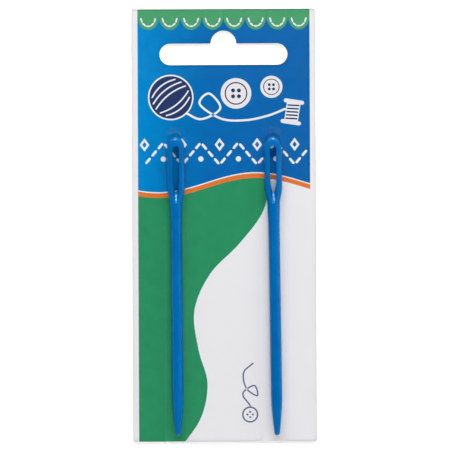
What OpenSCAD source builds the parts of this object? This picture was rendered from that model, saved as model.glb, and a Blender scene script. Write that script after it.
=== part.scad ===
// Hang pack of two plastic yarn needles: backing card, clear film with two
// raised channels, seal lanes, and the two needles. The pack lies on its back.
// X is across the card, Y runs from the needle tips to the hanging slot, Z is
// out of the printed face. The origin is the middle of the card's back.
// All sizes are in millimetres.

/* [Backing card] */
// Width of the card
card_w = 43; // [40:0.5:60]
// Height of the card
card_h = 101.4; // [98:0.2:140]
// Thickness of the board
card_t = 0.45; // [0.3:0.05:1]
// Corner radius of the card
card_r = 0.5; // [0.2:0.1:3]

/* [Hanging slot] */
// Width of the hanging slot
slot_w = 30; // [24:0.5:32]
// Height of the slot's straight part
slot_h = 5; // [4:0.5:6]
// Radius of the round notch that centres the pack on its hook
notch_r = 3; // [2.5:0.1:3.5]
// Distance from the card's top edge to the middle of the slot
slot_drop = 10.6; // [10:0.2:14]

/* [Clear film] */
// Thickness of the film
film_t = 0.2; // [0.15:0.05:0.35]
// Thickness of the seal layer under the film
seal_t = 0.05; // [0.04:0.01:0.1]
// Width of the side seal lanes
seal_w = 1.3; // [1:0.1:2]
// Distance from the card's top edge to the line where the film bends back
fold_drop = 17.6; // [17:0.1:24]
// Inside width of a needle channel at its foot
channel_w = 5.4; // [5:0.1:6]
// Free height over the thickest part of a needle
channel_clear = 0.3; // [0.2:0.05:1]
// Draft of the channel's side walls, degrees
channel_draft = 5; // [2:1:8]
// Inside corner radius of the channel's roof
channel_r = 1.2; // [0.8:0.1:1.4]
// Distance of each channel from the card's middle line
channel_x = 11.4; // [9:0.1:14]
// Gap from the top of a needle to the closed end of its channel
channel_gap = 1.9; // [1.5:0.1:3]

/* [Needle] */
// Length of a needle
needle_l = 69.9; // [60:0.1:75]
// Diameter of the shaft
shaft_d = 2.64; // [2.2:0.02:2.8]
// How much wider the shaft gets where it nears the head
neck_flare = 0.24; // [0:0.02:0.3]
// Diameter just behind the blunt tip
tip_d = 1.16; // [0.8:0.02:1.8]
// Length of the taper to the tip
taper_l = 10.5; // [8:0.5:20]
// Width of the head
head_w = 4.12; // [3.6:0.02:4.3]
// Thickness of the head
head_t = 2.2; // [1.8:0.1:2.4]
// Length of the head with its shoulders
head_l = 16; // [14:0.1:18]
// Width of the eye
eye_w = 1.45; // [1:0.05:1.8]
// Length of the eye's parallel part
eye_l = 7.95; // [7:0.05:8.6]
// Wall over the eye, at the head's top
eye_wall = 2.2; // [1.2:0.05:2.2]
// Lean of the left needle in its channel, degrees
lean_left = 0.25; // [0:0.05:0.8]
// Lean of the right needle in its channel, degrees
lean_right = 0.65; // [0:0.05:0.8]
// Height of the card that shows below the tips
tip_gap = 1.5; // [1:0.1:4]

/* [Hidden] */
$fn = 64;

slot_y = card_h / 2 - slot_drop;
fold_y = card_h / 2 - fold_drop;
film_z = card_t + seal_t;             // underside of the flat film
gap_z = 0.08;                         // needle clear of the card
axis_z = card_t + gap_z + shaft_d / 2; // height of a needle's axis
roof_z = axis_z + shaft_d / 2 + channel_clear;
tip_y = -card_h / 2 + tip_gap;
channel_end = tip_y + needle_l + channel_gap - channel_w / 2;
tip_left_x = -10.98;
tip_right_x = 12.2;

// ---------- needle shape, as functions of the distance s from the tip

function ease(x) = x <= 0 ? 0 : x >= 1 ? 1 : x * x * (3 - 2 * x);
// taper to the blunt tip
function taper_r(s) = tip_d / 2 + (shaft_d - tip_d) / 2 * sin(90 * min(1, s / taper_l));
// the neck widens gently before the shoulders
neck_s = needle_l - head_l - 5.4;
function neck(s) = neck_flare / 2 * ease((s - neck_s) / 5);
// rounding at the very tip and at the head's top
function tip_round(s) = s >= 0.6 ? 1 : sqrt(max(0, 1 - pow(1 - s / 0.6, 2)));
top_l = 2.9;
function top_round(s) = s <= needle_l - top_l ? 1
    : sqrt(max(0, 1 - pow((s - needle_l + top_l) / top_l, 2)));
function head_in(s) = ease((s - needle_l + head_l) / 4.1);
function half_w(s) = tip_round(s) * top_round(s)
    * (taper_r(s) + neck(s) + (head_w / 2 - shaft_d / 2 - neck(s)) * head_in(s));
function half_t(s) = tip_round(s) * pow(top_round(s), 0.6)
    * (taper_r(s) + (head_t - shaft_d) / 2 * head_in(s));
// the section is round along the shaft and a fuller oval in the head
function fullness(s) = 2 + 0.7 * head_in(s);

function section(s, m) = [for (k = [0 : m - 1])
    let (a = 360 * k / m, c = cos(a), q = sin(a), e = 2 / fullness(s))
    [half_w(s) * sign(c) * pow(abs(c), e), s, half_t(s) * sign(q) * pow(abs(q), e)]];

// stations: close together where the outline turns, far apart along the shaft
stations = concat(
    [for (i = [1 : 4]) 0.6 * (1 - cos(20 * i))],
    [for (i = [0 : 7]) 0.6 + (taper_l - 0.6) * i / 7],
    [for (i = [0 : 4]) neck_s + 1.25 * i],
    [for (i = [0 : 7]) needle_l - head_l + 4.1 * i / 7],
    [for (i = [0 : 7]) needle_l - top_l * (1 - sin(11.7 * i))]);

module needle_body(m = 28) {
    rings = [for (s = stations) section(s, m)];
    n = len(rings);
    points = [for (r = rings) each r];
    sides = [for (i = [0 : n - 2], k = [0 : m - 1])
        let (a = i * m + k, b = i * m + (k + 1) % m)
        each [[a, b, b + m], [a, b + m, a + m]]];
    polyhedron(points,
        concat(sides,
            [[for (k = [m - 1 : -1 : 0]) k]],
            [[for (k = [0 : m - 1]) (n - 1) * m + k]]),
        convexity = 6);
}

eye_top = needle_l - eye_wall;
eye_low = eye_top - eye_w / 2 - eye_l;

module eye_plan() {
    translate([0, eye_top - eye_w / 2]) circle(d = eye_w);
    translate([-eye_w / 2, eye_low]) square([eye_w, eye_l]);
    polygon([[-eye_w / 2, eye_low + 0.01], [-0.22, eye_low - 2.1], [0.22, eye_low - 2.1],
             [eye_w / 2, eye_low + 0.01]]);
    translate([0, eye_low - 2.1]) circle(r = 0.22);
}

// sloping thread groove that leads from each face into the eye's lower end:
// its floor runs down towards the eye, and its foot is round
module thread_groove() {
    foot = eye_low - 4.2;
    hull() for (up = [0, 2]) {
        translate([0, foot, half_t(foot) + 0.53 + up]) sphere(r = 0.7, $fn = 28);
        translate([0, foot + 2.6, half_t(foot) - 0.97 + up]) sphere(r = 0.36, $fn = 16);
    }
}

module needle() {
    difference() {
        needle_body();
        translate([0, 0, -2]) linear_extrude(4) eye_plan();
        thread_groove();
        mirror([0, 0, 1]) thread_groove();
    }
}

// ---------- card, film and seals

module rounded(w, h, r) {
    square([w - 2 * r, h], center = true);
    square([w, h - 2 * r], center = true);
    for (x = [-1, 1], y = [-1, 1])
        translate([x * (w / 2 - r), y * (h / 2 - r)]) circle(r = r);
}

module slot_plan(grow = 0) {
    translate([0, slot_y]) {
        square([slot_w - slot_h, slot_h + 2 * grow], center = true);
        for (x = [-1, 1])
            translate([x * (slot_w - slot_h) / 2, 0]) circle(r = slot_h / 2 + grow);
        translate([0, slot_h / 2]) circle(r = notch_r + grow);
    }
}

module backing_card() {
    color("#E5E3E6") linear_extrude(card_t) difference() {
        rounded(card_w, card_h, card_r);
        slot_plan();
    }
}

module film_header() {
    color([0.85, 0.92, 0.97, 0.35]) translate([0, 0, film_z]) linear_extrude(film_t)
        difference() {
            intersection() {
                rounded(card_w, card_h, card_r);
                translate([-card_w, fold_y + 0.04]) square([2 * card_w, card_h]);
            }
            slot_plan();
        }
}

// half of a channel's section: straight side with draft, round roof corner
function half_arch(w, h, r) =
    let (d = channel_draft, cz = h - r, cx = w - cz * tan(d) - r / cos(d))
    concat([[0, -1], [w + tan(d), -1]],
        [for (i = [0 : 8]) let (a = d + (90 - d) * i / 8) [cx + r * cos(a), cz + r * sin(a)]],
        [[0, h]]);

module arch_half(w, h, r) { polygon(half_arch(w, h, r)); }
module arch(w, h, r) {
    arch_half(w, h, r);
    mirror([1, 0]) arch_half(w, h, r);
}

// a channel's whole form, from below the card's bottom edge to its round end
module channel_form(w, h, r) {
    translate([0, channel_end, 0]) {
        rotate([90, 0, 0]) linear_extrude(channel_end + card_h / 2 + 1) arch(w, h, r);
        rotate_extrude(angle = 180) arch_half(w, h, r);
    }
}

module film_front() {
    inside_h = roof_z - film_z;
    color([0.85, 0.92, 0.97, 0.35]) difference() {
        intersection() {
            union() {
                translate([0, 0, film_z]) linear_extrude(film_t) rounded(card_w, card_h, card_r);
                for (x = [-1, 1]) translate([x * channel_x, 0, film_z])
                    channel_form(channel_w / 2 + film_t, inside_h + film_t, channel_r + film_t);
            }
            translate([0, 0, film_z]) linear_extrude(10) intersection() {
                rounded(card_w, card_h, card_r);
                translate([-card_w, -card_h]) square([2 * card_w, card_h + fold_y - 0.04]);
            }
        }
        for (x = [-1, 1]) translate([x * channel_x, 0, film_z])
            channel_form(channel_w / 2, inside_h, channel_r);
    }
}

module seal_header() {
    color([0.9, 0.9, 0.88, 0.6]) translate([0, 0, card_t]) linear_extrude(seal_t)
        difference() {
            intersection() {
                rounded(card_w - 0.4, card_h - 0.4, card_r);
                translate([-card_w, fold_y + 1]) square([2 * card_w, card_h]);
            }
            slot_plan(0.6);
        }
}

module seal_lane() {
    color([0.9, 0.9, 0.88, 0.6]) translate([card_w / 2 - 0.1 - seal_w, -card_h / 2 + 0.3, card_t])
        cube([seal_w, fold_y - 0.5 + card_h / 2 - 0.3, seal_t]);
}
module seal_right() { seal_lane(); }
module seal_left() { mirror([1, 0, 0]) seal_lane(); }

module needle_left() {
    color("#026BB4") translate([tip_left_x, tip_y, axis_z]) rotate([0, 0, lean_left]) needle();
}
module needle_right() {
    color("#026BB4") translate([tip_right_x, tip_y, axis_z]) rotate([0, 0, lean_right]) needle();
}

backing_card();
film_header();
film_front();
seal_header();
seal_left();
seal_right();
needle_left();
needle_right();
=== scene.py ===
import math

import bpy
import numpy as np
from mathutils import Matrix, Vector, geometry


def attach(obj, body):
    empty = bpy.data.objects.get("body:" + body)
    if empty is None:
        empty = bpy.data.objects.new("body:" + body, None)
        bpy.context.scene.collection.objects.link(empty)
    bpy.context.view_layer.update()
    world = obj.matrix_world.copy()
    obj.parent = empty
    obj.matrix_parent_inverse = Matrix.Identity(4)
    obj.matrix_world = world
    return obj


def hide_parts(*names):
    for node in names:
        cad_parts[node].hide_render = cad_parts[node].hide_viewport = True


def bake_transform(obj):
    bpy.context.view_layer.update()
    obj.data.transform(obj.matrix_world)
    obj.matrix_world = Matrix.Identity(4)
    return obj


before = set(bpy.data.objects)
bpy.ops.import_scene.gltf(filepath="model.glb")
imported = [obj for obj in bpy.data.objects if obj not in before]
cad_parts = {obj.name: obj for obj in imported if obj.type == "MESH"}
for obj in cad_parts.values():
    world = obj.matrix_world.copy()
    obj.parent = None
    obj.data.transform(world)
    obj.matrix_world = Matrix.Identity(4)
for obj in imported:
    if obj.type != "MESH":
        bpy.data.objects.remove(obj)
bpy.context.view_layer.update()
MM = 0.001

# ------------------------------------------------------------------ sizes, mm
CARD_W, CARD_H, CARD_T, CARD_R = 43.0, 101.4, 0.45, 0.5
SLOT_W, SLOT_H, NOTCH_R = 30.0, 5.0, 3.0
SLOT_Y = CARD_H / 2 - 10.6
FOLD_Y = CARD_H / 2 - 17.6
FILM_T, FILM_Z = 0.2, 0.5
SHAFT_D, TIP_D, TAPER_L, FLARE = 2.64, 1.16, 10.5, 0.24
AXIS_Z = CARD_T + 0.08 + SHAFT_D / 2
ROOF_Z = AXIS_Z + SHAFT_D / 2 + 0.3
CH_X, CH_W, CH_R = 11.4, 5.4, 1.2
TIP_Y = -CARD_H / 2 + 1.5
L = 69.9
CH_END = TIP_Y + L + 1.9 - CH_W / 2


# ------------------------------------------------------------------ helpers
def new_object(name, verts_mm, faces, materials, indices=None, smooth=True):
    mesh = bpy.data.meshes.new(name)
    mesh.from_pydata([tuple(np.asarray(v, float) * MM) for v in verts_mm], [], faces)
    mesh.validate()
    for m in materials:
        mesh.materials.append(m)
    if indices is not None:
        mesh.polygons.foreach_set("material_index", np.array(indices, np.int32))
    mesh.polygons.foreach_set("use_smooth", np.full(len(mesh.polygons), smooth))
    mesh.update()
    obj = bpy.data.objects.new(name, mesh)
    bpy.context.scene.collection.objects.link(obj)
    return obj


class Weld:
    """Collects faces and shares vertices that lie at one place."""

    def __init__(self, digits=5):
        self.at, self.verts, self.faces, self.marks, self.digits = {}, [], [], [], digits

    def vert(self, p):
        key = tuple(round(float(c), self.digits) + 0.0 for c in p)
        if key not in self.at:
            self.at[key] = len(self.verts)
            self.verts.append(key)
        return self.at[key]

    def face(self, points, mark=0):
        ids = []
        for p in points:
            i = self.vert(p)
            if i not in ids:
                ids.append(i)
        if len(ids) > 2:
            self.faces.append(ids)
            self.marks.append(mark)


def nodes_of(name):
    m = bpy.data.materials.new(name)
    m.use_nodes = True
    nt = m.node_tree
    nt.nodes.clear()
    return m, nt


def add(nt, kind, **values):
    n = nt.nodes.new(kind)
    for k, v in values.items():
        if hasattr(n, k):
            setattr(n, k, v)
    return n


def link(nt, a, b):
    nt.links.new(a, b)


def srgb(r, g, b):
    out = []
    for c in (r, g, b):
        c /= 255
        out.append(c / 12.92 if c <= 0.04045 else ((c + 0.055) / 1.055) ** 2.4)
    return (*out, 1.0)


def maths(nt, op, a, b=None, clamp=False):
    n = nt.nodes.new("ShaderNodeMath")
    n.operation = op
    n.use_clamp = clamp
    for i, v in enumerate((a, b)):
        if v is None:
            continue
        if hasattr(v, "links"):
            nt.links.new(v, n.inputs[i])
        else:
            n.inputs[i].default_value = v
    return n.outputs[0]


def ramp(nt, value, stops):
    n = nt.nodes.new("ShaderNodeValToRGB")
    cr = n.color_ramp
    while len(cr.elements) < len(stops):
        cr.elements.new(0.5)
    for e, (p, c) in zip(cr.elements, stops):
        e.position = p
        e.color = c if len(c) == 4 else (*c, 1)
    nt.links.new(value, n.inputs[0])
    return n.outputs[0]


def noise(nt, coord, scale, detail=2.0, rough=0.5, stretch=None):
    if stretch:
        m = nt.nodes.new("ShaderNodeMapping")
        m.inputs["Scale"].default_value = stretch
        nt.links.new(coord, m.inputs["Vector"])
        coord = m.outputs[0]
    n = nt.nodes.new("ShaderNodeTexNoise")
    n.inputs["Scale"].default_value = scale
    n.inputs["Detail"].default_value = detail
    n.inputs["Roughness"].default_value = rough
    nt.links.new(coord, n.inputs["Vector"])
    return n.outputs["Fac"]


def mapped(nt, value, lo, hi, out_lo, out_hi):
    n = nt.nodes.new("ShaderNodeMapRange")
    n.inputs["From Min"].default_value = lo
    n.inputs["From Max"].default_value = hi
    n.inputs["To Min"].default_value = out_lo
    n.inputs["To Max"].default_value = out_hi
    nt.links.new(value, n.inputs["Value"])
    return n.outputs[0]


def bump(nt, height, distance, strength=1.0):
    n = nt.nodes.new("ShaderNodeBump")
    n.inputs["Distance"].default_value = distance
    n.inputs["Strength"].default_value = strength
    nt.links.new(height, n.inputs["Height"])
    return n.outputs[0]


def mix_colour(nt, kind, factor, a, b):
    n = nt.nodes.new("ShaderNodeMix")
    n.data_type = "RGBA"
    n.blend_type = kind
    for i, v in ((0, factor), (6, a), (7, b)):
        if hasattr(v, "links"):
            nt.links.new(v, n.inputs[i])
        else:
            n.inputs[i].default_value = v
    return n.outputs[2]


# ------------------------------------------------------------------ materials
def needle_plastic():
    m, nt = nodes_of("needle_plastic")
    out = add(nt, "ShaderNodeOutputMaterial")
    p = add(nt, "ShaderNodeBsdfPrincipled")
    co = add(nt, "ShaderNodeTexCoord").outputs["Object"]
    flow = noise(nt, co, 900, 3, 0.55, (1, 0.06, 1))
    cloud = noise(nt, co, 260, 2, 0.5)
    shade = maths(nt, "ADD", maths(nt, "MULTIPLY", flow, 0.55), maths(nt, "MULTIPLY", cloud, 0.45))
    colour = ramp(nt, shade, [(0.32, srgb(0, 104, 176)), (0.5, srgb(0, 110, 184)), (0.68, srgb(2, 117, 191))])
    link(nt, colour, p.inputs["Base Color"])
    fine = noise(nt, co, 5200, 2, 0.5)
    streak = noise(nt, co, 2600, 2, 0.6, (1, 0.05, 1))
    rough = maths(nt, "ADD", maths(nt, "MULTIPLY", fine, 0.5), maths(nt, "MULTIPLY", streak, 0.5))
    link(nt, mapped(nt, rough, 0.3, 0.7, 0.12, 0.2), p.inputs["Roughness"])
    link(nt, bump(nt, maths(nt, "ADD", fine, maths(nt, "MULTIPLY", streak, 1.2)), 0.000006, 0.3), p.inputs["Normal"])
    p.inputs["IOR"].default_value = 1.49
    p.inputs["Specular IOR Level"].default_value = 0.5
    p.inputs["Specular Tint"].default_value = (0.45, 0.8, 1.0, 1)
    link(nt, p.outputs[0], out.inputs["Surface"])
    return m


def clear_film():
    m, nt = nodes_of("clear_film")
    out = add(nt, "ShaderNodeOutputMaterial")
    co = add(nt, "ShaderNodeTexCoord").outputs["Object"]
    clear = add(nt, "ShaderNodeBsdfTransparent")
    clear.inputs[0].default_value = (0.975, 0.983, 0.986, 1)
    gloss = add(nt, "ShaderNodeBsdfAnisotropic")
    gloss.inputs["Color"].default_value = (1, 1, 1, 1)
    wave = noise(nt, co, 95, 2, 0.5)
    fine = noise(nt, co, 700, 2, 0.5, (1, 0.15, 1))
    normal = bump(nt, maths(nt, "ADD", wave, maths(nt, "MULTIPLY", fine, 0.06)), 0.00012, 0.35)
    link(nt, normal, gloss.inputs["Normal"])
    link(nt, mapped(nt, fine, 0.3, 0.7, 0.04, 0.09), gloss.inputs["Roughness"])
    # gloss that grows towards a grazing view, alike on both faces of the film
    weight = add(nt, "ShaderNodeLayerWeight")
    weight.inputs["Blend"].default_value = 0.5
    link(nt, normal, weight.inputs["Normal"])
    mix = add(nt, "ShaderNodeMixShader")
    share = maths(nt, "ADD", maths(nt, "MULTIPLY", maths(nt, "POWER", weight.outputs["Facing"], 5.0), 0.09), 0.008)
    link(nt, share, mix.inputs[0])
    link(nt, clear.outputs[0], mix.inputs[1])
    link(nt, gloss.outputs[0], mix.inputs[2])
    link(nt, mix.outputs[0], out.inputs["Surface"])
    return m


def film_edge():
    """The film's cut edge, painted as a thin line a little darker than the film: painted shade for how light bends and
    is lost in the clear edge.
    """
    m, nt = nodes_of("film_edge")
    out = add(nt, "ShaderNodeOutputMaterial")
    co = add(nt, "ShaderNodeTexCoord").outputs["Object"]
    clear = add(nt, "ShaderNodeBsdfTransparent")
    p = add(nt, "ShaderNodeBsdfPrincipled")
    cut = noise(nt, co, 1800, 3, 0.6, (1, 1, 0.2))
    # painted shade: a mottled dark grey-blue on the clear film's edge, in place of the darkening that light passing
    # through the edge gives
    link(nt, ramp(nt, cut, [(0.3, srgb(52, 76, 90)), (0.7, srgb(96, 120, 132))]), p.inputs["Base Color"])
    p.inputs["Roughness"].default_value = 0.3
    mix = add(nt, "ShaderNodeMixShader")
    link(nt, mapped(nt, cut, 0.3, 0.7, 0.8, 0.95), mix.inputs[0])
    link(nt, clear.outputs[0], mix.inputs[1])
    link(nt, p.outputs[0], mix.inputs[2])
    link(nt, mix.outputs[0], out.inputs["Surface"])
    return m


def seal_layer():
    m, nt = nodes_of("seal_layer")
    out = add(nt, "ShaderNodeOutputMaterial")
    co = add(nt, "ShaderNodeTexCoord").outputs["Object"]
    clear = add(nt, "ShaderNodeBsdfTransparent")
    p = add(nt, "ShaderNodeBsdfPrincipled")
    speck = noise(nt, co, 2200, 3, 0.6)
    link(nt, ramp(nt, speck, [(0.3, srgb(226, 226, 222)), (0.7, srgb(240, 240, 237))]), p.inputs["Base Color"])
    p.inputs["Roughness"].default_value = 0.4
    mix = add(nt, "ShaderNodeMixShader")
    link(nt, mapped(nt, speck, 0.35, 0.7, 0.0004, 0.003), mix.inputs[0])
    link(nt, clear.outputs[0], mix.inputs[1])
    link(nt, p.outputs[0], mix.inputs[2])
    link(nt, mix.outputs[0], out.inputs["Surface"])
    return m


def ink(name, colours, gloss=(0.26, 0.36), mottle=0.05, screen=0.03):
    """A printed ink on board. colours is one colour, or stops across the card's width."""
    m, nt = nodes_of(name)
    out = add(nt, "ShaderNodeOutputMaterial")
    p = add(nt, "ShaderNodeBsdfPrincipled")
    co = add(nt, "ShaderNodeTexCoord").outputs["Object"]
    xyz = add(nt, "ShaderNodeSeparateXYZ")
    link(nt, co, xyz.inputs[0])
    if isinstance(colours, list):
        across = mapped(nt, xyz.outputs[0], -0.0202, 0.0202, 0, 1)
        base = ramp(nt, across, colours)
    else:
        base = None
    cloud = noise(nt, co, 420, 3, 0.6)
    grain = noise(nt, co, 4200, 2, 0.6)
    # fine print screen, turned by 30 degrees
    c, s, f = math.cos(0.52), math.sin(0.52), 2 * math.pi / 0.00021
    u = maths(nt, "ADD", maths(nt, "MULTIPLY", xyz.outputs[0], c * f), maths(nt, "MULTIPLY", xyz.outputs[1], s * f))
    v = maths(nt, "SUBTRACT", maths(nt, "MULTIPLY", xyz.outputs[1], c * f), maths(nt, "MULTIPLY", xyz.outputs[0], s * f))
    dots = maths(nt, "MULTIPLY", maths(nt, "SINE", u), maths(nt, "SINE", v))
    shade = maths(nt, "ADD", mapped(nt, cloud, 0.3, 0.7, 1 - mottle, 1 + mottle),
                  maths(nt, "ADD", mapped(nt, grain, 0.3, 0.7, -mottle * 0.5, mottle * 0.5),
                        maths(nt, "MULTIPLY", dots, screen)))
    grey = add(nt, "ShaderNodeCombineColor")
    for i in range(3):
        link(nt, shade, grey.inputs[i])
    colour = mix_colour(nt, "MULTIPLY", 1.0, base if base is not None else colours, grey.outputs[0])
    link(nt, colour, p.inputs["Base Color"])
    link(nt, mapped(nt, maths(nt, "ADD", maths(nt, "MULTIPLY", cloud, 0.5), maths(nt, "MULTIPLY", grain, 0.5)),
                    0.3, 0.7, gloss[0], gloss[1]), p.inputs["Roughness"])
    fibre = noise(nt, co, 1500, 4, 0.62, (1, 0.55, 1))
    link(nt, bump(nt, fibre, 0.00001, 0.5), p.inputs["Normal"])
    p.inputs["Specular IOR Level"].default_value = 0.15
    link(nt, p.outputs[0], out.inputs["Surface"])
    return m


def board(name, light, dark, layered):
    m, nt = nodes_of(name)
    out = add(nt, "ShaderNodeOutputMaterial")
    p = add(nt, "ShaderNodeBsdfPrincipled")
    co = add(nt, "ShaderNodeTexCoord").outputs["Object"]
    fibre = noise(nt, co, 1300, 5, 0.65, (0.35, 0.35, 3.0) if layered else (1, 0.5, 1))
    speck = noise(nt, co, 380, 3, 0.6)
    mixv = maths(nt, "ADD", maths(nt, "MULTIPLY", fibre, 0.65), maths(nt, "MULTIPLY", speck, 0.35))
    link(nt, ramp(nt, mixv, [(0.34, dark), (0.62, light)]), p.inputs["Base Color"])
    link(nt, mapped(nt, fibre, 0.3, 0.7, 0.72, 0.9), p.inputs["Roughness"])
    link(nt, bump(nt, fibre, 0.00003, 0.6), p.inputs["Normal"])
    p.inputs["Specular IOR Level"].default_value = 0.25
    link(nt, p.outputs[0], out.inputs["Surface"])
    return m


# ------------------------------------------------------------------ needle mesh
HEAD_W, HEAD_T, HEAD_L, TOP_L = 4.12, 2.2, 16.0, 2.9
NECK_S = L - HEAD_L - 5.4
EYE_W, EYE_L, EYE_WALL = 1.45, 7.95, 2.2
EYE_TOP = L - EYE_WALL
EYE_SC = EYE_TOP - EYE_W / 2
EYE_LOW = EYE_SC - EYE_L
EYE_SB, EYE_RB = EYE_LOW - 2.1, 0.22
RIM = 0.2
BEVEL = (0.27, 0.74)


def ease(x):
    x = min(1.0, max(0.0, x))
    return x * x * (3 - 2 * x)


def taper_r(s):
    return TIP_D / 2 + (SHAFT_D - TIP_D) / 2 * math.sin(math.radians(90 * min(1, s / TAPER_L)))


def neck(s):
    return FLARE / 2 * ease((s - NECK_S) / 5)


def ends(s, power=1.0):
    tip = 1.0 if s >= 0.6 else math.sqrt(max(0, 1 - (1 - s / 0.6) ** 2))
    top = 1.0 if s <= L - TOP_L else math.sqrt(max(0, 1 - ((s - L + TOP_L) / TOP_L) ** 2))
    return tip * top ** power


def head_in(s):
    return ease((s - L + HEAD_L) / 4.1)


def half_w(s):
    return ends(s) * (taper_r(s) + neck(s) + (HEAD_W / 2 - SHAFT_D / 2 - neck(s)) * head_in(s))


def full_t(s):
    return ends(s, 0.6) * (taper_r(s) + (HEAD_T - SHAFT_D) / 2 * head_in(s))


def half_t(s):
    # a narrow flat bevel round the head's top, 0.02 mm off the full curve
    t = (L - s - BEVEL[0]) / (BEVEL[1] - BEVEL[0])
    if 0 < t < 1:
        return full_t(L - BEVEL[0]) * (1 - t) + full_t(L - BEVEL[1]) * t
    return full_t(s)


def fullness(s):
    return 2 + 0.7 * head_in(s)


def eye_half(s):
    if EYE_LOW <= s <= EYE_SC:
        return EYE_W / 2
    if EYE_SC < s <= EYE_TOP:
        return math.sqrt(max(0, (EYE_W / 2) ** 2 - (s - EYE_SC) ** 2))
    if EYE_SB <= s < EYE_LOW:
        t = (EYE_LOW - s) / (EYE_LOW - EYE_SB)
        return EYE_W / 2 + (EYE_RB - EYE_W / 2) * t
    if EYE_SB - EYE_RB <= s < EYE_SB:
        return math.sqrt(max(0, EYE_RB ** 2 - (s - EYE_SB) ** 2))
    return 0.0


def eye_distance(x, s):
    if s > EYE_SC:
        return math.hypot(x, s - EYE_SC) - EYE_W / 2
    if s < EYE_SB:
        return math.hypot(x, s - EYE_SB) - EYE_RB
    return (x - eye_half(s)) * (0.972 if s < EYE_LOW else 1.0)


def surface_z(x, s, a, b, n):
    z = b * max(0.0, 1 - (x / a) ** n) ** (1 / n) if a > 1e-6 else 0.0
    # thread groove: its floor runs down to the eye, and its foot is round
    foot = EYE_LOW - 4.2
    if foot - 1.0 < s < foot + 3.6 and x < 1.0:
        along = (s - foot) / 2.6
        t = min(1.0, max(0.0, along))
        r, axis = 0.7 - 0.34 * t, half_t(foot) + 0.53 - 1.5 * t
        off = max(0.0, foot - s)
        d = math.hypot(x, off)
        lip = 0.86 * r
        g = axis - math.sqrt(r * r - min(d, lip) ** 2) + max(0.0, d - lip) * 2.2
        g = max(g, 0.24 + x * 0.5)
        if along > 1:
            g += (along - 1) * 1.2
        k = 0.1
        h = max(0.0, k - abs(z - g)) / k
        z = min(z, g) - h * h * k / 4
    d = eye_distance(x, s)
    if d < RIM:
        d = max(0.0, d)
        z -= RIM - math.sqrt(max(0.0, RIM ** 2 - (RIM - d) ** 2))
    return max(z, 0.0)


def stations():
    s = [0.6 * (1 - math.cos(math.radians(t))) for t in (0, 6, 14, 23, 33, 44, 56, 68, 79, 90)]
    s += list(np.linspace(0.6, 12, 28)) + list(np.linspace(12, NECK_S, 30))
    s += list(np.linspace(NECK_S, EYE_LOW - 5.0, 22))
    s += list(np.linspace(EYE_LOW - 4.95, EYE_SB - EYE_RB - 0.02, 42))
    s += [EYE_SB - EYE_RB * math.cos(math.radians(t)) for t in (0, 15, 32, 50, 70, 90)]
    s += [EYE_SB - EYE_RB - d for d in (0.012, 0.035, 0.07, 0.12, 0.17, 0.22)]
    s += list(np.linspace(EYE_SB, EYE_LOW, 16)) + list(np.linspace(EYE_LOW, EYE_SC, 26))
    s += [EYE_SC + EYE_W / 2 * math.sin(math.radians(t)) for t in (12, 24, 36, 48, 59, 69, 78, 85, 90)]
    s += [EYE_TOP + d for d in (0.012, 0.035, 0.07, 0.12, 0.17, 0.22, 0.32, 0.45, 0.6)]
    s += [L - TOP_L * (1 - math.sin(math.radians(t))) for t in (4, 12, 20, 28, 34, 40, 46, 52, 57)]
    s += [L - (1 - math.cos(math.radians(t))) * 0.7 for t in (0, 8, 17, 27, 38, 50, 62)]
    s += [L - d for d in (BEVEL[0], BEVEL[0] + 0.01, BEVEL[1] - 0.01, BEVEL[1])]
    out = []
    for v in sorted(s):
        if not out or v - out[-1] > 0.0045:
            out.append(v)
        elif abs(v - EYE_TOP) < 1e-9 or abs(v - (EYE_SB - EYE_RB)) < 1e-9:
            out[-1] = v
    return out


def quarter(s):
    """The eye wall and the outer skin of one quarter of the section, as (x, z) points."""
    a, b, n = max(half_w(s), 0.0), max(half_t(s), 0.0), fullness(s)
    if a < 1e-6:
        return [], [(0.0, 0.0)] * 33
    e = eye_half(s)
    rim = min(RIM, 0.35 * (a - e))
    xs = [e + rim * (1 - math.cos(math.radians(t))) for t in (0, 18, 36, 54, 72, 90)]
    t0 = math.acos(min(1.0, ((e + rim) / a) ** (n / 2)))
    low = [0, 0.022, 0.045, 0.075, 0.12]
    flat = list(np.linspace(e + rim, max(e + rim, 0.62 * a), 13))[1:]
    t1 = min(t0, math.acos((max(e + rim, 0.62 * a) / a) ** (n / 2)))
    ts = list(np.linspace(t1, 0.19, 11))[1:] + low[::-1]
    skin = [(x, surface_z(x, s, a, b, n)) for x in xs + flat]
    for t in ts:
        x = a * math.cos(t) ** (2 / n)
        z = surface_z(x, s, a, b, n) if t > 0 else 0.0
        # faint parting line of the mould along the widest point
        flash = 0.016 * math.exp(-((z / 0.055) ** 2)) * min(1.0, a)
        skin.append((x + flash, z))
    wall = [(e, skin[0][1] * k) for k in (0, 0.3, 0.6, 0.85)]
    return wall, skin


def needle_mesh(name, tip_x, lean, material):
    w = Weld()
    rows = [(s, *quarter(s)) for s in stations()]
    c, q = math.cos(math.radians(lean)), math.sin(math.radians(lean))

    def place(x, s, z):
        return (tip_x + x * c - s * q, TIP_Y + x * q + s * c, AXIS_Z + z)

    lo, hi = EYE_SB - EYE_RB - 1e-6, EYE_TOP + 1e-6
    for (s0, wall0, skin0), (s1, wall1, skin1) in zip(rows, rows[1:]):
        open_here = lo <= s0 <= hi and lo <= s1 <= hi
        p0 = (wall0 if open_here else []) + skin0
        p1 = (wall1 if open_here else []) + skin1
        if not p0 or not p1:
            continue
        for k in range(len(p0) - 1):
            quad = [(p0[k], s0), (p0[k + 1], s0), (p1[k + 1], s1), (p1[k], s1)]
            for sx in (1, -1):
                for sz in (1, -1):
                    pts = [place(sx * p[0], s, sz * p[1]) for p, s in quad]
                    w.face(pts if sx * sz > 0 else pts[::-1])
    obj = new_object(name, w.verts, w.faces, [material])
    tidy(obj)
    return obj


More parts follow.
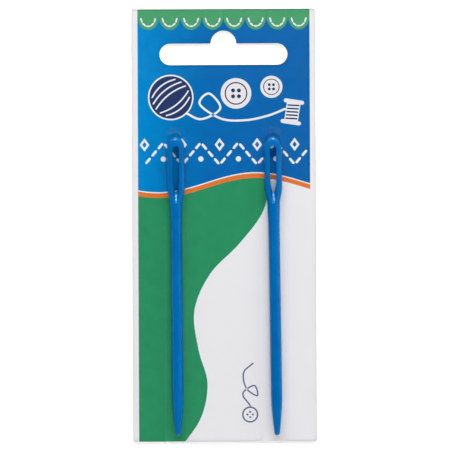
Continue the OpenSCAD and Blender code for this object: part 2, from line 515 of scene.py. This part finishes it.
def tidy(obj):
    import bmesh

    b = bmesh.new()
    b.from_mesh(obj.data)
    bmesh.ops.remove_doubles(b, verts=b.verts, dist=3e-8)
    bmesh.ops.dissolve_degenerate(b, dist=1e-9, edges=b.edges)
    bmesh.ops.recalc_face_normals(b, faces=b.faces)
    b.to_mesh(obj.data)
    b.free()
    obj.data.update()


# ------------------------------------------------------------------ outlines
def arc(cx, cy, r, a0, a1, n):
    return [(cx + r * math.cos(math.radians(a0 + (a1 - a0) * i / n)),
             cy + r * math.sin(math.radians(a0 + (a1 - a0) * i / n))) for i in range(n + 1)]


def card_outline(inset=0.0, n=6):
    w, h, r = CARD_W / 2 - inset, CARD_H / 2 - inset, CARD_R - inset * 0.4
    return (arc(w - r, -h + r, r, -90, 0, n) + arc(w - r, h - r, r, 0, 90, n)
            + arc(-w + r, h - r, r, 90, 180, n) + arc(-w + r, -h + r, r, 180, 270, n))


def slot_outline(grow=0.0):
    x, r = (SLOT_W - SLOT_H) / 2, SLOT_H / 2 + grow
    k = NOTCH_R + grow
    yt = SLOT_Y + SLOT_H / 2
    # where the notch's circle meets the slot's upper edge
    a = math.degrees(math.asin(grow / k)) if grow else 0.0
    pts = arc(x, SLOT_Y, r, -90, 90, 20)
    pts += arc(0, yt, k, a, 180 - a, 28)
    pts += arc(-x, SLOT_Y, r, 90, 270, 20)
    return pts


def inside(points, poly):
    """Which of the points lie in a polygon."""
    p = np.asarray(points, float)
    q = np.asarray(poly, float)
    x, y = p[:, 0], p[:, 1]
    hit = np.zeros(len(p), bool)
    j = len(q) - 1
    for i in range(len(q)):
        xi, yi, xj, yj = *q[i], *q[j]
        if yi != yj:
            cross = ((yi > y) != (yj > y)) & (x < (xj - xi) * (y - yi) / (yj - yi) + xi)
            hit ^= cross
        j = i
    return hit


def triangulate(loops, lines=()):
    """Constrained triangles over closed loops and open lines: points and index triples."""
    verts, edges = [], []
    for loop in loops:
        n0 = len(verts)
        verts += [Vector(p) for p in loop]
        edges += [(n0 + i, n0 + (i + 1) % len(loop)) for i in range(len(loop))]
    for line in lines:
        n0 = len(verts)
        verts += [Vector(p) for p in line]
        edges += [(n0 + i, n0 + i + 1) for i in range(len(line) - 1)]
    v, _, f, *_ = geometry.delaunay_2d_cdt(verts, edges, [], 0, 1e-5, False)
    v = np.array([(p.x, p.y) for p in v])
    return v, [list(t) for t in f]


# ------------------------------------------------------------------ print design
PX0, PX1 = -20.15, 20.2


def stroke(points, width, caps=True):
    """A line of some width as a closed outline, with round ends."""
    p = np.asarray(points, float)
    d = np.gradient(p, axis=0) if len(p) > 2 else np.repeat([p[1] - p[0]], 2, axis=0)
    d /= np.linalg.norm(d, axis=1)[:, None]
    nrm = np.stack([-d[:, 1], d[:, 0]], 1) * width / 2
    left, right = p + nrm, p - nrm
    out = [tuple(q) for q in left]
    if caps:
        a = math.degrees(math.atan2(nrm[-1][1], nrm[-1][0]))
        out += arc(p[-1][0], p[-1][1], width / 2, a, a - 180, 6)[1:-1]
    out += [tuple(q) for q in right[::-1]]
    if caps:
        a = math.degrees(math.atan2(-nrm[0][1], -nrm[0][0]))
        out += arc(p[0][0], p[0][1], width / 2, a, a - 180, 6)[1:-1]
    return out


def disc(cx, cy, r, n=56):
    return arc(cx, cy, r, 0, 360, n)[:-1]


def ribbon_y(x):
    return 9.3 + 2.3 * math.sin(math.pi * (x + 4) / 23)


def through(points, n):
    """A smooth line through some points."""
    p = [np.array(q, float) for q in points]
    p = [2 * p[0] - p[1], *p, 2 * p[-1] - p[-2]]
    out = []
    for a, b, c, d in zip(p, p[1:], p[2:], p[3:]):
        for k in range(n):
            t = k / n
            out.append(tuple(0.5 * (2 * b + (c - a) * t + (2 * a - 5 * b + 4 * c - d) * t * t
                                    + (3 * b - a - 3 * c + d) * t ** 3)))
    return out + [tuple(p[-2])]


def turned(points, cx, cy, degrees):
    c, q = math.cos(math.radians(degrees)), math.sin(math.radians(degrees))
    return [(cx + x * c - y * q, cy + x * q + y * c) for x, y in points]


def design():
    """The printed shapes, lowest first, each as (material name, outline)."""
    xs = np.linspace(PX0, PX1, 61)
    top, low = CARD_H / 2 + 1, -CARD_H / 2 - 1
    shapes = [("ink_blue", [(PX0, top), *[(x, ribbon_y(x)) for x in xs], (PX1, top)])]
    # a row of green scallops hangs from the top edge
    n, base = 8, 48.9
    w = (PX1 - PX0) / n
    for k in range(n):
        cx = PX0 + (k + 0.5) * w
        half = [(cx + (w / 2 - 0.02) * math.cos(math.radians(a)), base + 3.1 * math.sin(math.radians(a)))
                for a in np.linspace(180, 360, 25)]
        shapes.append(("ink_leaf", [(cx - w / 2, top), *half, (cx + w / 2, top)]))
        rim = [(cx + (w / 2 - 0.75) * math.cos(math.radians(a)), base + 2.3 * math.sin(math.radians(a)))
               for a in np.linspace(184, 356, 6)]
        for a, b in zip(rim, rim[1:]):
            d = np.array(b) - np.array(a)
            shapes.append(("ink_white", stroke([np.array(a) + d * 0.2, np.array(a) + d * 0.8], 0.36)))
    # lower fields: green on the left, bare board on the right, parted by a standing wave
    edge = through([(11.2, ribbon_y(11.2)), (9.2, 3.0), (3.6, -4.5), (-3.2, -11.5), (-6.9, -20.0), (-6.0, -29.0),
                    (-3.9, -37), (-5.4, -45), (-9.8, low)], 9)
    shapes.append(("board_face", [(PX0, low), *[(x, ribbon_y(x)) for x in xs], (PX1, low)]))
    left = [(x, ribbon_y(x)) for x in xs if x < 11.2]
    shapes.append(("ink_green", [(PX0, low), *left, *edge]))
    shapes.append(("ink_white", stroke(edge, 0.34, False)))
    # orange ribbon with a white hairline over it
    def ribbon(y0, y1):
        return [(x, ribbon_y(x) + y0) for x in xs] + [(x, ribbon_y(x) + y1) for x in xs[::-1]]

    shapes.append(("ink_white", ribbon(0.4, 0.82)))
    shapes.append(("ink_orange", ribbon(-0.54, 0.54)))
    # a ball of yarn on the left, its strand runs on to a spool on the right
    cx, cy = -12.4, 30.0
    strand = through([(cx + 3.4, cy - 3.6), (-5.2, 24.9), (-0.8, 27.4), (-3.4, 30.9), (-5.6, 28.4), (-0.6, 25.0),
                      (5.0, 24.6), (10.2, 25.6), (14.4, 27.2)], 12)
    shapes.append(("ink_white", stroke(strand, 0.5)))
    shapes.append(("ink_white", disc(cx, cy, 5.35)))
    shapes.append(("ink_navy", disc(cx, cy, 5.0)))
    for lift in (0.0, 1.35, -1.35, 2.7, -2.7):
        half = math.sqrt(4.35 ** 2 - lift ** 2)
        pts = [(u * half, lift + (0.8 if lift >= 0 else -0.8) * (1 - u * u)) for u in np.linspace(-1, 1, 25)]
        shapes.append(("ink_white", stroke(turned(pts, cx, cy, 38), 0.33)))
    # a thread spool, standing a little askew, that the strand runs on to
    def block(x0, x1, y0, y1):
        return turned([(x0, y0), (x1, y0), (x1, y1), (x0, y1)], 16.1, 26.5, -9)

    shapes.append(("ink_white", block(-1.6, 1.6, -2.2, 2.2)))
    for k in range(5):
        y = -1.56 + 0.78 * k
        shapes.append(("ink_navy", stroke(turned([(-1.25, y - 0.12), (1.25, y + 0.12)], 16.1, 26.5, -9), 0.36)))
    for y in (-2.45, 2.45):
        shapes.append(("ink_pale", stroke(turned([(-1.95, y), (1.95, y)], 16.1, 26.5, -9), 0.95)))
    # two pale buttons of two sizes above the strand
    for bx, by, r in ((2.9, 30.9, 3.6), (11.2, 32.4, 2.6)):
        shapes.append(("ink_pale", disc(bx, by, r)))
        shapes.append(("ink_navy", disc(bx, by, r * 0.74)))
        shapes.append(("ink_pale", disc(bx, by, r * 0.66)))
        for a in (45, 135, 225, 315):
            hx, hy = bx + r * 0.27 * math.cos(math.radians(a)), by + r * 0.27 * math.sin(math.radians(a))
            shapes.append(("ink_navy", disc(hx, hy, r * 0.13, 20)))
    # a zigzag of running stitches with diamonds in its upper bays and dots in its lower ones
    step, rise, y0 = 4.4, 5.2, 14.2
    for k in range(9):
        xa, ya = -18.6 + step * k, y0 + (rise if k % 2 else 0)
        xb, yb = xa + step, y0 + (0 if k % 2 else rise)
        for t in (0.1, 0.43, 0.76):
            if xa + (xb - xa) * (t + 0.17) < PX1 - 0.4:
                shapes.append(("ink_white", stroke([(xa + (xb - xa) * t, ya + (yb - ya) * t),
                                                    (xa + (xb - xa) * (t + 0.17), ya + (yb - ya) * (t + 0.17))], 0.58)))
        if k % 2:
            shapes.append(("ink_white", disc(xa, y0 + 1.35, 0.62, 28)))
        else:
            for r, colour in ((1.0, "ink_white"), (0.46, "ink_blue")):
                shapes.append((colour, [(xa + 1.15 * r * u, y0 + 4.7 + 1.55 * r * v)
                                        for u, v in ((1, 0), (0, 1), (-1, 0), (0, -1))]))
    # a small slate button with a loop of thread, on the bare board
    shapes.append(("ink_slate", disc(5.9, -44.4, 1.9)))
    shapes.append(("board_face", disc(5.9, -44.4, 1.55)))
    for a in (0, 90, 180, 270):
        shapes.append(("ink_slate", disc(5.9 + 0.62 * math.cos(math.radians(a)),
                                         -44.4 + 0.62 * math.sin(math.radians(a)), 0.25, 16)))
    loop = through([(5.9, -42.3), (4.2, -39.5), (6.9, -37.6), (7.6, -40.0), (5.0, -38.2), (4.4, -34.6), (6.6, -32.4)], 10)
    shapes.append(("ink_slate", stroke(loop, 0.34)))
    return shapes


def loop_bands(face, ring, levels):
    """Side faces between one closed outline at several insets and heights."""
    rows = [[(x, y, z) for x, y in ring(inset)] for inset, z in levels]
    for lo, hi in zip(rows, rows[1:]):
        n = len(lo)
        for i in range(n):
            face([lo[i], lo[(i + 1) % n], hi[(i + 1) % n], hi[i]])


def sheet_piece(name, rings, z0, z1, soft, material):
    """A thin flat sheet with rounded edges; the first ring is its outline, the others are holes."""
    w = Weld(6)
    loops = [r(soft) for r in rings]
    v, tris = triangulate(loops)
    mid = np.array([v[t].mean(axis=0) for t in tris])
    keep = inside(mid, loops[0])
    for hole in loops[1:]:
        keep &= ~inside(mid, hole)
    for t, k in zip(tris, keep):
        if k:
            w.face([(*v[i], z1) for i in t])
            w.face([(*v[i], z0) for i in t[::-1]])
    for r in rings:
        loop_bands(w.face, r, [(soft, z0), (soft * 0.3, z0 + soft * 0.3), (0.0, z0 + soft),
                               (0.0, z1 - soft), (soft * 0.3, z1 - soft * 0.3), (soft, z1)])
    obj = new_object(name, w.verts, w.faces, [material])
    tidy(obj)
    obj.data.set_sharp_from_angle(angle=math.radians(40))
    return obj


def card_piece(mats):
    names = list(mats)
    shapes = design()
    inner = 0.035
    top_loop, slot_loop = card_outline(inner), slot_outline(inner)
    v, tris = triangulate([top_loop, slot_loop, *[o for _, o in shapes]])
    mid = np.array([v[t].mean(axis=0) for t in tris])
    keep = inside(mid, top_loop) & ~inside(mid, slot_loop)
    mark = np.full(len(tris), names.index("board_face"))
    for name, outline in shapes:
        mark[inside(mid, outline)] = names.index(name)
    w = Weld(6)
    for t, k, m in zip(tris, keep, mark):
        if k:
            w.face([(*v[i], CARD_T) for i in t], int(m))
    verts, faces, marks = w.verts, w.faces, w.marks
    # open edges of the face, each with its outward direction
    seen = {}
    for f in faces:
        for a, b in zip(f, f[1:] + f[:1]):
            seen[(a, b)] = seen.get((a, b), 0) + 1
    rim = [(a, b) for (a, b) in seen if (b, a) not in seen]
    around = {}
    full, hole = np.array(card_outline(0)), np.array(slot_outline(0))

    def outward(i):
        """The way from the inset rim to the board's true edge, at one rim point."""
        p = np.array(verts[i][:2])
        best = None
        for poly in (full, hole):
            q = np.roll(poly, -1, axis=0)
            d = q - poly
            t = np.clip(((p - poly) * d).sum(1) / np.maximum((d * d).sum(1), 1e-12), 0, 1)
            near = poly + d * t[:, None]
            dist = np.linalg.norm(near - p, axis=1)
            k = int(dist.argmin())
            if best is None or dist[k] < best[0]:
                best = (dist[k], near[k] - p)
        return best[1]

    for a, b in rim:
        for i in (a, b):
            if i not in around:
                around[i] = outward(i)
    levels = [(0.0, CARD_T), (0.7, CARD_T - 0.011), (1.0, CARD_T - 0.035),
              (1.0, 0.035), (0.7, 0.011), (0.0, 0.0)]
    side = names.index("board_edge")
    ring = {}
    for i, d in around.items():
        ids = [i]
        for share, z in levels[1:]:
            verts.append((verts[i][0] + d[0] * share, verts[i][1] + d[1] * share, z))
            ids.append(len(verts) - 1)
        ring[i] = ids
    for a, b in rim:
        for k in range(len(levels) - 1):
            faces.append([ring[b][k], ring[a][k], ring[a][k + 1], ring[b][k + 1]])
            marks.append(side)
    # plain back, from the rim's own points
    links = chains(rim)
    order = [i for chain in links for i in chain]
    pts, edges = [Vector(verts[i][:2]) for i in order], []
    for chain in links:
        n0 = len(edges)
        edges += [(n0 + k, n0 + (k + 1) % len(chain)) for k in range(len(chain))]
    bv, _, bt, origin, *_ = geometry.delaunay_2d_cdt(pts, edges, [], 0, 1e-7, True)
    bm = np.array([np.mean([bv[i] for i in t], axis=0) for t in bt])
    ok = np.ones(len(bt), bool)
    for chain in links:
        loop = [verts[i][:2] for i in chain]
        within = inside(bm, loop)
        ok &= within if np.ptp(np.array(loop)[:, 1]) > CARD_H / 2 else ~within
    back = names.index("board_back")
    for t, k in zip(bt, ok):
        if k:
            faces.append([ring[order[origin[i][0]]][-1] for i in t][::-1])
            marks.append(back)
    obj = new_object("card_board", verts, faces, [mats[n] for n in names], marks, smooth=False)
    # the rounded edge shades softly, the faces stay flat
    smooth = [names[m] == "board_edge" for m in marks]
    if len(obj.data.polygons) == len(smooth):
        obj.data.polygons.foreach_set("use_smooth", smooth)
    return obj


def chains(edges):
    nxt = dict(edges)
    left, out = set(nxt), []
    while left:
        start = min(left)
        chain, i = [], start
        while i in left:
            left.discard(i)
            chain.append(i)
            i = nxt[i]
        out.append(chain)
    return out


# ------------------------------------------------------------------ film
def channel_profile():
    """The film's outer face across a channel, from the flat foot to the roof's middle, as (u, z)."""
    d = math.radians(5)
    w, h, r, f = CH_W / 2 + FILM_T, ROOF_Z - FILM_Z + FILM_T, CH_R + FILM_T, 0.45
    cz = h - r
    cx = w - cz * math.tan(d) - r / math.cos(d)
    fz = FILM_T + f
    fx = w - fz * math.tan(d) + f / math.cos(d)
    pts = [(fx + f * math.cos(math.radians(a)), fz + f * math.sin(math.radians(a)))
           for a in np.linspace(270, 185, 10)]
    pts += [(w - z * math.tan(d), z) for z in np.linspace(pts[-1][1], cz + r * math.sin(d), 7)[1:-1]]
    pts += [(cx + r * math.cos(math.radians(a)), cz + r * math.sin(math.radians(a)))
            for a in np.linspace(5, 90, 14)]
    pts += [(u, h) for u in np.linspace(cx, 0, 6)[1:]]
    return [(u, z + FILM_Z) for u, z in pts], fx


def film_piece(material, edge_material):
    profile, foot = channel_profile()
    w = Weld(5)
    y_low = -CARD_H / 2
    ys = list(np.linspace(y_low, CH_END, 52))
    turns = list(np.linspace(0, 180, 37))

    def settle(x, y, z):
        """The formed roof isn't quite even: it rises and falls by a few hundredths."""
        k = max(0.0, (z - FILM_Z - 1.0) / 2.15)
        return z + k * (0.016 * math.sin(y * 0.31 + x * 0.4) + 0.01 * math.sin(y * 0.83 + 1.3 + x)) - k * 0.02

    feet = {}
    for sgn in (-1, 1):
        cx = CH_X * sgn

        def right(y, p):
            x = cx + p[0]
            return (x, y, settle(x, y, p[1]))

        def left(y, p):
            x = cx - p[0]
            return (x, y, settle(x, y, p[1]))

        def round_end(t, p):
            x = cx + p[0] * math.cos(math.radians(t))
            y = CH_END + p[0] * math.sin(math.radians(t))
            return (x, y, settle(x, y, p[1]))

        for k in range(len(profile) - 1):
            a, b = profile[k], profile[k + 1]
            for y0, y1 in zip(ys, ys[1:]):
                w.face([right(y0, a), right(y1, a), right(y1, b), right(y0, b)])
                w.face([left(y0, b), left(y1, b), left(y1, a), left(y0, a)])
            for t0, t1 in zip(turns, turns[1:]):
                w.face([round_end(t0, a), round_end(t1, a), round_end(t1, b), round_end(t0, b)])
        feet[sgn] = ([(cx + foot, y) for y in ys] + [round_end(t, profile[0])[:2] for t in turns[1:-1]]
                     + [(cx - foot, y) for y in reversed(ys)])
    # flat film round the channels, cut flush with the card
    wd, h, r = CARD_W / 2, CARD_H / 2, CARD_R
    outline = [*arc(-wd + r, -h + r, r, 180, 270, 6)]
    for sgn in (-1, 1):
        outline += feet[sgn][::-1]
    outline += [*arc(wd - r, -h + r, r, -90, 0, 6), *arc(wd - r, h - r, r, 0, 90, 6),
                *arc(-wd + r, h - r, r, 90, 180, 6)]
    hole = slot_outline(0)
    lines = [[(-wd, y), (wd, y)] for y in np.arange(24.0, 34.6, 0.45)]
    v, tris = triangulate([outline, hole], lines)
    mid = np.array([v[t].mean(axis=0) for t in tris])
    keep = inside(mid, outline) & ~inside(mid, hole)
    top = FILM_Z + FILM_T
    for t, k in zip(tris, keep):
        if k:
            w.face([(*v[i], top) for i in t])
    obj = new_object("film_cover", w.verts, w.faces, [material, edge_material])
    tidy(obj)
    # the outer skin faces up, so that the thickness goes inwards
    up = sum(p.normal.z * p.area for p in obj.data.polygons)
    if up < 0:
        obj.data.flip_normals()
    mod = obj.modifiers.new("thickness", "SOLIDIFY")
    mod.thickness = (FILM_T - 0.004) * MM
    mod.offset = -1.0
    mod.material_offset_rim = 1
    mod.use_even_offset = True
    mod.use_quality_normals = True
    dg = bpy.context.evaluated_depsgraph_get()
    solid = bpy.data.meshes.new_from_object(obj.evaluated_get(dg))
    obj.modifiers.clear()
    obj.data = solid
    solid.name = "film_cover"
    solid.set_sharp_from_angle(angle=math.radians(40))
    return obj


# ------------------------------------------------------------------ camera, light, floor
def stage_and_light():
    scene = bpy.context.scene
    cam = bpy.data.cameras.new("camera")
    cam.lens, cam.sensor_width = 200.0, 36.0
    cam.clip_start, cam.clip_end = 0.02, 50
    view = bpy.data.objects.new("camera", cam)
    scene.collection.objects.link(view)
    span = 450 * 0.23438 * MM
    view.location = (0.00019, 0.00005, span * cam.lens / cam.sensor_width + 0.0006)
    view.rotation_euler = (0, 0, math.radians(-0.25))
    scene.camera = view

    m, nt = nodes_of("floor_white")
    out = add(nt, "ShaderNodeOutputMaterial")
    p = add(nt, "ShaderNodeBsdfPrincipled")
    co = add(nt, "ShaderNodeTexCoord").outputs["Object"]
    n = noise(nt, co, 30, 3, 0.5)
    link(nt, ramp(nt, n, [(0.3, (0.93, 0.93, 0.93)), (0.7, (0.95, 0.95, 0.95))]), p.inputs["Base Color"])
    p.inputs["Roughness"].default_value = 0.9
    p.inputs["Specular IOR Level"].default_value = 0.1
    p.inputs["Emission Color"].default_value = (1, 1, 1, 1)
    p.inputs["Emission Strength"].default_value = 0.3
    link(nt, p.outputs[0], out.inputs["Surface"])
    s = 4000
    floor = new_object("floor", [(-s, -s, -0.02), (s, -s, -0.02), (s, s, -0.02), (-s, s, -0.02)],
                       [[0, 1, 2, 3]], [m], smooth=False)

    def area(name, pos, size, radiance, target=(0, 0, 0)):
        lamp = bpy.data.lights.new(name, "AREA")
        lamp.shape, lamp.size, lamp.size_y = "RECTANGLE", size[0], size[1]
        lamp.energy = radiance * math.pi * size[0] * size[1]
        o = bpy.data.objects.new(name, lamp)
        scene.collection.objects.link(o)
        o.location = pos
        d = Vector(target) - Vector(pos)
        o.rotation_mode = "QUATERNION"
        o.rotation_quaternion = d.to_track_quat("-Z", "Y")
        return o

    area("key", (0.0, 0.47, 0.42), (0.86, 0.085), KEY)
    area("fill", (0.04, -0.5, 0.5), (0.26, 0.5), FILL)
    area("side", (0.6, 0.1, 0.35), (0.4, 0.4), SIDE)

    world = bpy.data.worlds.new("studio")
    scene.world = world
    world.use_nodes = True
    wt = world.node_tree
    wt.nodes.clear()
    wo = wt.nodes.new("ShaderNodeOutputWorld")
    bg = wt.nodes.new("ShaderNodeBackground")
    tc = wt.nodes.new("ShaderNodeTexCoord")
    sp = wt.nodes.new("ShaderNodeSeparateXYZ")
    wt.links.new(tc.outputs["Generated"], sp.inputs[0])
    sky = ramp(wt, sp.outputs[2], [(0.0, (0.8, 0.8, 0.8)), (0.5, (0.8, 0.8, 0.8)),
                                   (0.85, (0.25, 0.25, 0.255)), (1.0, (0.05, 0.05, 0.055))])
    wt.links.new(sky, bg.inputs[0])
    # brighter along the needles than across them, and a little more from the right
    along = mapped(wt, maths(wt, "ABSOLUTE", sp.outputs[1]), 0.1, 1, 0.25, 2.1)
    right = mapped(wt, sp.outputs[0], -1, 1, WORLD * 0.75, WORLD * 1.25)
    wt.links.new(maths(wt, "MULTIPLY", along, right), bg.inputs[1])
    wt.links.new(bg.outputs[0], wo.inputs[0])
    scene.view_settings.view_transform = "Standard"
    # enough see-through surfaces for light that passes film, seal and channel walls twice
    if hasattr(scene, "cycles"):
        scene.cycles.transparent_max_bounces = 24


KEY, FILL, SIDE, WORLD = 18.0, 5.4, 0.6, 0.37

stage_and_light()

INKS = {
    "board_face": ink("board_face", srgb(241, 236, 237), (0.5, 0.62), 0.012, 0.0),
    "ink_blue": ink("ink_blue", [(0.0, srgb(0, 138, 208)), (0.13, srgb(0, 128, 196)), (0.25, srgb(0, 119, 187)),
                                 (0.4, srgb(7, 106, 178)), (1.0, srgb(18, 101, 173))]),
    "ink_leaf": ink("ink_leaf", srgb(78, 161, 110)),
    "ink_green": ink("ink_green", srgb(46, 146, 98)),
    "ink_orange": ink("ink_orange", srgb(234, 121, 50)),
    "ink_white": ink("ink_white", srgb(238, 238, 240), (0.45, 0.55), 0.01, 0.0),
    "ink_pale": ink("ink_pale", srgb(236, 231, 231), (0.45, 0.55), 0.01, 0.0),
    "ink_navy": ink("ink_navy", srgb(44, 58, 104)),
    "ink_slate": ink("ink_slate", srgb(88, 104, 142)),
    "board_edge": board("board_edge", srgb(222, 219, 214), srgb(196, 192, 186), True),
    "board_back": board("board_back", srgb(216, 212, 205), srgb(190, 185, 177), False),
}

card = card_piece(INKS)
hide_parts("backing_card")
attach(card, "card")

plastic = needle_plastic()
for side, tip_x, lean in (("left", -10.98, 0.25), ("right", 12.2, 0.65)):
    n = needle_mesh("yarn_needle_" + side, tip_x, lean, plastic)
    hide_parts("needle_" + side)
    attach(n, side + "_needle")

film = film_piece(clear_film(), film_edge())
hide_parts("film_header", "film_front")
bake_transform(film)

seal = seal_layer()


def header_ring(inset):
    x, y0, y1, r = CARD_W / 2 - 0.2 - inset, FOLD_Y + 1 + inset, CARD_H / 2 - 0.2 - inset, 0.45
    return (arc(x - r, y0 + r, r, -90, 0, 5) + arc(x - r, y1 - r, r, 0, 90, 5)
            + arc(-x + r, y1 - r, r, 90, 180, 5) + arc(-x + r, y0 + r, r, 180, 270, 5))


def lane_ring(sgn):
    def ring(inset):
        x0, x1 = CARD_W / 2 - 1.4 + inset, CARD_W / 2 - 0.1 - inset
        y0, y1, r = -CARD_H / 2 + 0.3 + inset, FOLD_Y - 0.5 - inset, 0.35
        pts = (arc(x1 - r, y0 + r, r, -90, 0, 5) + arc(x1 - r, y1 - r, r, 0, 90, 5)
               + arc(x0 + r, y1 - r, r, 90, 180, 5) + arc(x0 + r, y0 + r, r, 180, 270, 5))
        return [(sgn * x, y) for x, y in pts]
    return ring


for name, rings in (("header", [header_ring, lambda inset: slot_outline(0.6 + inset)]),
                    ("left", [lane_ring(-1)]), ("right", [lane_ring(1)])):
    o = sheet_piece("seal_layer_" + name, rings, CARD_T + 0.003, FILM_Z - 0.003, 0.012, seal)
    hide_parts("seal_" + name)
    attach(o, "card")
